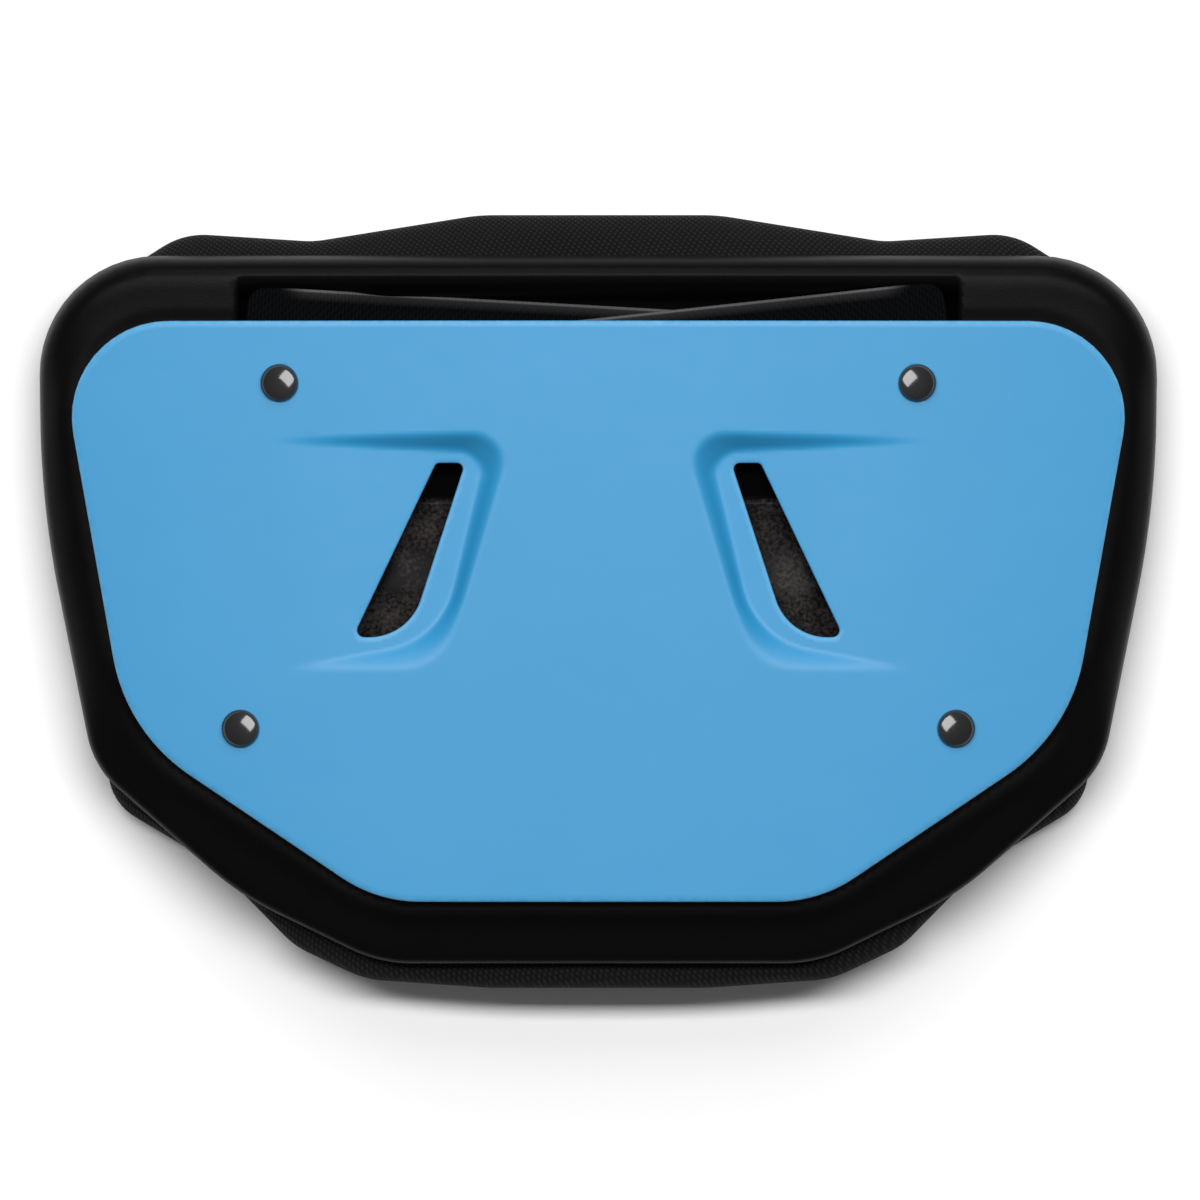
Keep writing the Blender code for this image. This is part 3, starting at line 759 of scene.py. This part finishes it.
def rivet_profile():
    """Half section of a rivet, from its dome's top down to its tail's middle. Columns: out, up."""
    tail_bottom = CARRIER_BACK - PLATE_FRONT + RIVET_CLEAR
    tail_top = tail_bottom + RIVET_TAIL_THICKNESS
    points = []
    for step in range(DOME_STEPS + 1):
        angle = math.pi / 2 * step / DOME_STEPS
        out = RIVET_HEAD_RADIUS * math.sin(angle)
        up = RIVET_CLEAR + RIVET_HEAD_HEIGHT * math.cos(angle)
        points.append((out, up))
    points += [
        (RIVET_HEAD_RADIUS - RIVET_RIM, RIVET_CLEAR - RIVET_RIM),
        (RIVET_SHANK_RADIUS, RIVET_CLEAR - RIVET_RIM),
        (RIVET_SHANK_RADIUS, tail_top),
        (RIVET_TAIL_RADIUS - RIVET_TAIL_BEVEL, tail_top),
        (RIVET_TAIL_RADIUS, tail_top - RIVET_TAIL_BEVEL),
        (RIVET_TAIL_RADIUS, tail_bottom + RIVET_TAIL_BEVEL),
        (RIVET_TAIL_RADIUS - RIVET_TAIL_BEVEL, tail_bottom),
        (0.0, tail_bottom),
    ]
    return points


def make_rivet(name, x, y, finish):
    bm = bmesh.new()
    rings = []
    for out, up in rivet_profile():
        if out == 0:
            rings.append([bm.verts.new((0, 0, up))])
            continue
        angles = [2 * math.pi * step / RIVET_SIDES for step in range(RIVET_SIDES)]
        rings.append([bm.verts.new((out * math.cos(a), out * math.sin(a), up)) for a in angles])
    for upper, lower in zip(rings, rings[1:]):
        for index in range(RIVET_SIDES):
            other = (index + 1) % RIVET_SIDES
            corners = [upper[index % len(upper)], lower[index % len(lower)]]
            corners += [lower[other % len(lower)], upper[other % len(upper)]]
            bm.faces.new(list(dict.fromkeys(corners)))
    tilt = Matrix.Rotation(math.asin(x / WRAP_RADIUS), 4, "Y")
    middle = Matrix.Translation((0, y, PLATE_FRONT - WRAP_RADIUS))
    seat = middle @ tilt @ Matrix.Translation((0, 0, WRAP_RADIUS))
    bmesh.ops.transform(bm, matrix=seat, verts=bm.verts)
    bmesh.ops.recalc_face_normals(bm, faces=bm.faces)
    mesh = bpy.data.meshes.new(name + "_cap")
    bm.to_mesh(mesh)
    bm.free()
    mesh.shade_smooth()
    mesh.set_sharp_from_angle(angle=math.radians(40))
    return add_piece(name + "_cap", mesh, finish, "black_rivet", name)


# Materials


class Finish:
    """A material and short ways to add nodes to it."""

    def __init__(self, name):
        self.material = bpy.data.materials.new(name)
        self.material.use_nodes = True
        self.tree = self.material.node_tree
        self.shader = self.tree.nodes["Principled BSDF"]
        self.place = self.node("ShaderNodeTexCoord").outputs["Object"]

    def node(self, kind, **settings):
        made = self.tree.nodes.new(kind)
        for key, value in settings.items():
            setattr(made, key, value)
        return made

    def link(self, source, socket):
        self.tree.links.new(source, socket)

    def set(self, **values):
        for key, value in values.items():
            self.shader.inputs[key.replace("_", " ")].default_value = value

    def noise(self, scale, detail=2.0, source=None):
        made = self.node("ShaderNodeTexNoise")
        made.inputs["Scale"].default_value = scale
        made.inputs["Detail"].default_value = detail
        self.link(source or self.place, made.inputs["Vector"])
        return made.outputs["Fac"]

    def bands(self, pitch, turn, source=None):
        """Even bands, one each pitch, square to X once the place is turned."""
        mapped = self.node("ShaderNodeMapping")
        mapped.inputs["Rotation"].default_value = turn
        self.link(source or self.place, mapped.inputs["Vector"])
        made = self.node("ShaderNodeTexWave", wave_type="BANDS", bands_direction="X")
        made.inputs["Scale"].default_value = 2 * math.pi / (20 * pitch)
        self.link(mapped.outputs["Vector"], made.inputs["Vector"])
        return made.outputs["Fac"]

    def number(self, name):
        return self.node("ShaderNodeAttribute", attribute_name=name).outputs["Fac"]

    def math(self, operation, first, second):
        made = self.node("ShaderNodeMath", operation=operation)
        for socket, value in zip(made.inputs, (first, second)):
            if isinstance(value, (int, float)):
                socket.default_value = value
            else:
                self.link(value, socket)
        return made.outputs["Value"]

    def span(self, value, low, high):
        """The value from 0 to 1 spread from low to high."""
        made = self.node("ShaderNodeMapRange")
        made.inputs["To Min"].default_value = low
        made.inputs["To Max"].default_value = high
        self.link(value, made.inputs["Value"])
        return made.outputs["Result"]

    def mix(self, share, first, second):
        made = self.node("ShaderNodeMix", data_type="RGBA")
        if isinstance(share, float):
            made.inputs["Factor"].default_value = share
        else:
            self.link(share, made.inputs["Factor"])
        for socket, value in ((made.inputs["A"], first), (made.inputs["B"], second)):
            if isinstance(value, tuple):
                socket.default_value = (*value, 1.0)
            else:
                self.link(value, socket)
        return made.outputs["Result"]

    def color(self, source):
        self.link(source, self.shader.inputs["Base Color"])

    def roughness(self, source):
        self.link(source, self.shader.inputs["Roughness"])

    def bump(self, height, distance, strength=1.0, under=None):
        made = self.node("ShaderNodeBump")
        made.inputs["Strength"].default_value = strength
        made.inputs["Distance"].default_value = distance
        self.link(height, made.inputs["Height"])
        if under is not None:
            self.link(under, made.inputs["Normal"])
        self.link(made.outputs["Normal"], self.shader.inputs["Normal"])
        return made.outputs["Normal"]


def plastic_finish():
    """Satin moulded plastic with a fine grain, faint cloudiness and a painted highlight along its edges
    and vent edges.
    """
    finish = Finish("satin_blue_plastic")
    cloud = finish.noise(22.0, 3.0)
    base = finish.mix(cloud, (0.016, 0.216, 0.431), (0.022, 0.228, 0.451))
    # Painted highlight: a paler blue along the edges, broken up by noise.
    highlight_breakup = finish.span(finish.noise(420.0, 3.0), 0.05, 0.75)
    plate_edge_highlight = finish.math("MULTIPLY", finish.number("edge"), highlight_breakup)
    finish.color(finish.mix(plate_edge_highlight, base, (0.16, 0.42, 0.66)))
    finish.roughness(finish.span(finish.noise(160.0, 4.0), 0.42, 0.48))
    finish.set(IOR=1.46, Specular_IOR_Level=0.5)
    soft = finish.bump(finish.noise(60.0, 1.0), 0.00025, 0.25)
    finish.bump(finish.noise(2600.0, 2.0), 0.00002, 0.5, soft)
    return finish.material


def foam_finish():
    """Moulded foam with a thin skin, open cells where it is cut, a painted highlight along its outer edge
    and painted shade in the strap recess.
    """
    finish = Finish("skinned_black_foam")
    cloud = finish.noise(35.0, 4.0)
    skin = finish.mix(cloud, (0.0018, 0.0017, 0.0018), (0.0028, 0.0026, 0.0028))
    cells = finish.math("MULTIPLY", finish.noise(900.0, 3.0), finish.noise(55.0, 1.0))
    cut = finish.mix(finish.span(cells, -0.5, 2.2), (0.002, 0.0017, 0.0017), (0.050, 0.043, 0.042))
    tone = finish.mix(finish.number("cut"), skin, cut)
    # Painted highlight: a paler grey along the outer edge, broken up by noise.
    highlight_breakup = finish.span(finish.noise(300.0, 3.0), 0.0, 0.6)
    rim_edge_highlight = finish.math("MULTIPLY", finish.number("edge"), highlight_breakup)
    lit = finish.mix(rim_edge_highlight, tone, (0.018, 0.017, 0.0175))
    # Painted shade: the strap recess is painted near black and made fully rough.
    painted_recess_shade = finish.number("painted_recess_shade")
    finish.color(finish.mix(painted_recess_shade, lit, (0.0012, 0.0012, 0.0015)))
    skin_roughness = finish.span(finish.noise(140.0, 3.0), 0.33, 0.41)
    finish.roughness(finish.math("MAXIMUM", skin_roughness, finish.math("MULTIPLY", painted_recess_shade, 0.95)))
    finish.set(Specular_IOR_Level=0.05)
    soft = finish.bump(finish.noise(45.0, 2.0), 0.0006, 0.35)
    finish.bump(finish.noise(1500.0, 3.0), 0.00006, 0.6, soft)
    return finish.material


def mesh_finish():
    """Knitted spacer mesh: small round holes in a slanted grid, with a soft fibre sheen."""
    finish = Finish("black_spacer_mesh")
    first = finish.bands(0.00125, (0.6, 0.4, 0.70))
    second = finish.bands(0.00125, (0.6, 0.4, 2.27))
    knit = finish.math("MULTIPLY", first, second)
    fibre = finish.noise(3200.0, 2.0)
    yarn = finish.math("ADD", knit, finish.math("MULTIPLY", fibre, 0.25))
    base = finish.mix(knit, (0.0015, 0.0014, 0.0015), (0.0200, 0.0185, 0.0195))
    cloud = finish.mix(finish.noise(28.0, 3.0), (0.004, 0.0037, 0.004), (0.0140, 0.0130, 0.0136))
    finish.color(finish.mix(0.3, base, cloud))
    finish.roughness(finish.span(fibre, 0.72, 0.92))
    finish.set(Specular_IOR_Level=0.08, Sheen_Weight=0.03, Sheen_Roughness=0.5)
    finish.bump(yarn, 0.00035, 0.9)
    return finish.material


def webbing_finish():
    """Flat woven webbing: ribs across it in two slanted rows and a painted highlight along its edges."""
    finish = Finish("woven_black_webbing")
    uv = finish.node("ShaderNodeUVMap", uv_map="weave").outputs["UV"]
    ribs = finish.bands(0.0011, (0, 0, math.pi / 2), uv)
    slant = finish.bands(0.0019, (0, 0, math.pi / 4), uv)
    ribs = finish.math("MULTIPLY", ribs, 0.6)
    weave = finish.math("ADD", ribs, finish.math("MULTIPLY", slant, 0.4))
    face = finish.mix(weave, (0.0008, 0.0009, 0.0011), (0.0026, 0.0027, 0.0031))
    # Painted highlight: a paler grey along the edges.
    finish.color(finish.mix(finish.number("edge"), face, (0.085, 0.082, 0.084)))
    finish.roughness(finish.span(finish.noise(500.0, 3.0), 0.50, 0.75))
    finish.set(Specular_IOR_Level=0.015)
    finish.bump(weave, 0.0003, 0.9)
    return finish.material


def rivet_finish():
    """Glossy lacquered metal with faint scuffs."""
    finish = Finish("glossy_black_cap")
    finish.color(finish.mix(finish.noise(250.0, 4.0), (0.008, 0.008, 0.009), (0.016, 0.016, 0.017)))
    finish.roughness(finish.span(finish.noise(700.0, 5.0), 0.10, 0.24))
    finish.set(Specular_IOR_Level=0.6, Coat_Weight=0.4, Coat_Roughness=0.06)
    finish.bump(finish.noise(900.0, 4.0), 0.00001, 0.3)
    return finish.material


def floor_finish():
    finish = Finish("pale_floor")
    finish.color(finish.mix(finish.noise(8.0, 2.0), (0.79, 0.79, 0.79), (0.81, 0.81, 0.81)))
    finish.roughness(finish.span(finish.noise(40.0, 2.0), 0.85, 0.95))
    finish.set(Specular_IOR_Level=0.1)
    return finish.material


# Studio

CAMERA_DISTANCE = 10.0
KEY_DISTANCE = 3.0
KEY_ELEVATION = 74.0
KEY_WIDTH = 4.2
KEY_HEIGHT = 0.60
KEY_POWER = 118.0
PANEL_ELEVATION = 42.0
PANEL_WIDTH = 2.8
PANEL_HEIGHT = 1.5
PANEL_POWER = 38.0
CARD_DISTANCE = 1.2
CARD_SIZE = 1.3
CARD_POWER = 40.0
CARD_TURN = 42.0
CARD_ELEVATION = 56.0
FLOOR_SIZE = 6.0
WORLD_STRENGTH = 0.16


def add_camera():
    data = bpy.data.cameras.new("camera")
    data.sensor_width = 36.0
    data.lens = data.sensor_width * CAMERA_DISTANCE / (IMAGE_WIDTH * PIXEL)
    data.clip_end = 2 * CAMERA_DISTANCE
    camera = bpy.data.objects.new("camera", data)
    x, y = pixel_point(IMAGE_WIDTH / 2, IMAGE_WIDTH / 2)
    camera.location = (x, y, PLATE_FRONT + CAMERA_DISTANCE)
    bpy.context.scene.collection.objects.link(camera)
    bpy.context.scene.camera = camera


def add_area(name, place, target, width, height, power):
    data = bpy.data.lights.new(name, "AREA")
    data.shape = "RECTANGLE"
    data.size = width
    data.size_y = height
    data.energy = power
    lamp = bpy.data.objects.new(name, data)
    lamp.location = place
    away = Vector(target) - Vector(place)
    lamp.rotation_euler = away.to_track_quat("-Z", "Y").to_euler()
    bpy.context.scene.collection.objects.link(lamp)
    return lamp


def around(distance, turn, elevation):
    """A place at a distance from the object. Turn 0 is towards the top of the photograph, 90 its right."""
    flat = distance * math.cos(math.radians(elevation))
    x = flat * math.sin(math.radians(turn))
    y = flat * math.cos(math.radians(turn))
    return (x, y, distance * math.sin(math.radians(elevation)))


def light_only(lamp, pieces):
    """The lamp lights these pieces alone."""
    lit = bpy.data.collections.new(lamp.name + "_lights")
    for piece in pieces:
        lit.objects.link(piece)
    lamp.light_linking.receiver_collection = lit


def add_lights(floor, soft_pieces, left_caps, right_caps):
    place = around(KEY_DISTANCE, 0.0, KEY_ELEVATION)
    key = add_area("key", place, (0, 0, 0), KEY_WIDTH, KEY_HEIGHT, KEY_POWER)
    light_only(key, [floor, *soft_pieces])
    place = around(KEY_DISTANCE, 0.0, PANEL_ELEVATION)
    panel = add_area("panel", place, (0, 0, 0), PANEL_WIDTH, PANEL_HEIGHT, PANEL_POWER)
    light_only(panel, [floor, *soft_pieces])
    for name, turn, caps in (("left", CARD_TURN, left_caps), ("right", -CARD_TURN, right_caps)):
        place = around(CARD_DISTANCE, turn, CARD_ELEVATION)
        card = add_area("card_" + name, place, (0, 0, 0), CARD_SIZE, CARD_SIZE, CARD_POWER)
        light_only(card, caps)


def set_world():
    world = bpy.data.worlds.new("studio")
    world.use_nodes = True
    back = world.node_tree.nodes["Background"]
    back.inputs["Color"].default_value = (1.0, 1.0, 1.0, 1.0)
    back.inputs["Strength"].default_value = WORLD_STRENGTH
    bpy.context.scene.world = world
    bpy.context.scene.view_settings.view_transform = "Standard"


def add_floor():
    mesh = bpy.data.meshes.new("floor")
    half = FLOOR_SIZE / 2
    corners = [(-half, -half, 0), (half, -half, 0), (half, half, 0), (-half, half, 0)]
    mesh.from_pydata(corners, [], [(0, 1, 2, 3)])
    mesh.materials.append(floor_finish())
    floor = bpy.data.objects.new("floor", mesh)
    bpy.context.scene.collection.objects.link(floor)
    return floor


def main():
    add_camera()
    floor = add_floor()
    set_world()
    webbing = webbing_finish()
    bodies = [make_plate(plastic_finish()), make_carrier(foam_finish()), make_pad(mesh_finish())]
    bodies += [make_strap(side, webbing) for side in ("left", "right")]
    cap = rivet_finish()
    caps = [make_rivet(name, x, y, cap) for name, x, y in rivet_places()]
    add_lights(floor, bodies, caps[0::2], caps[1::2])


main()
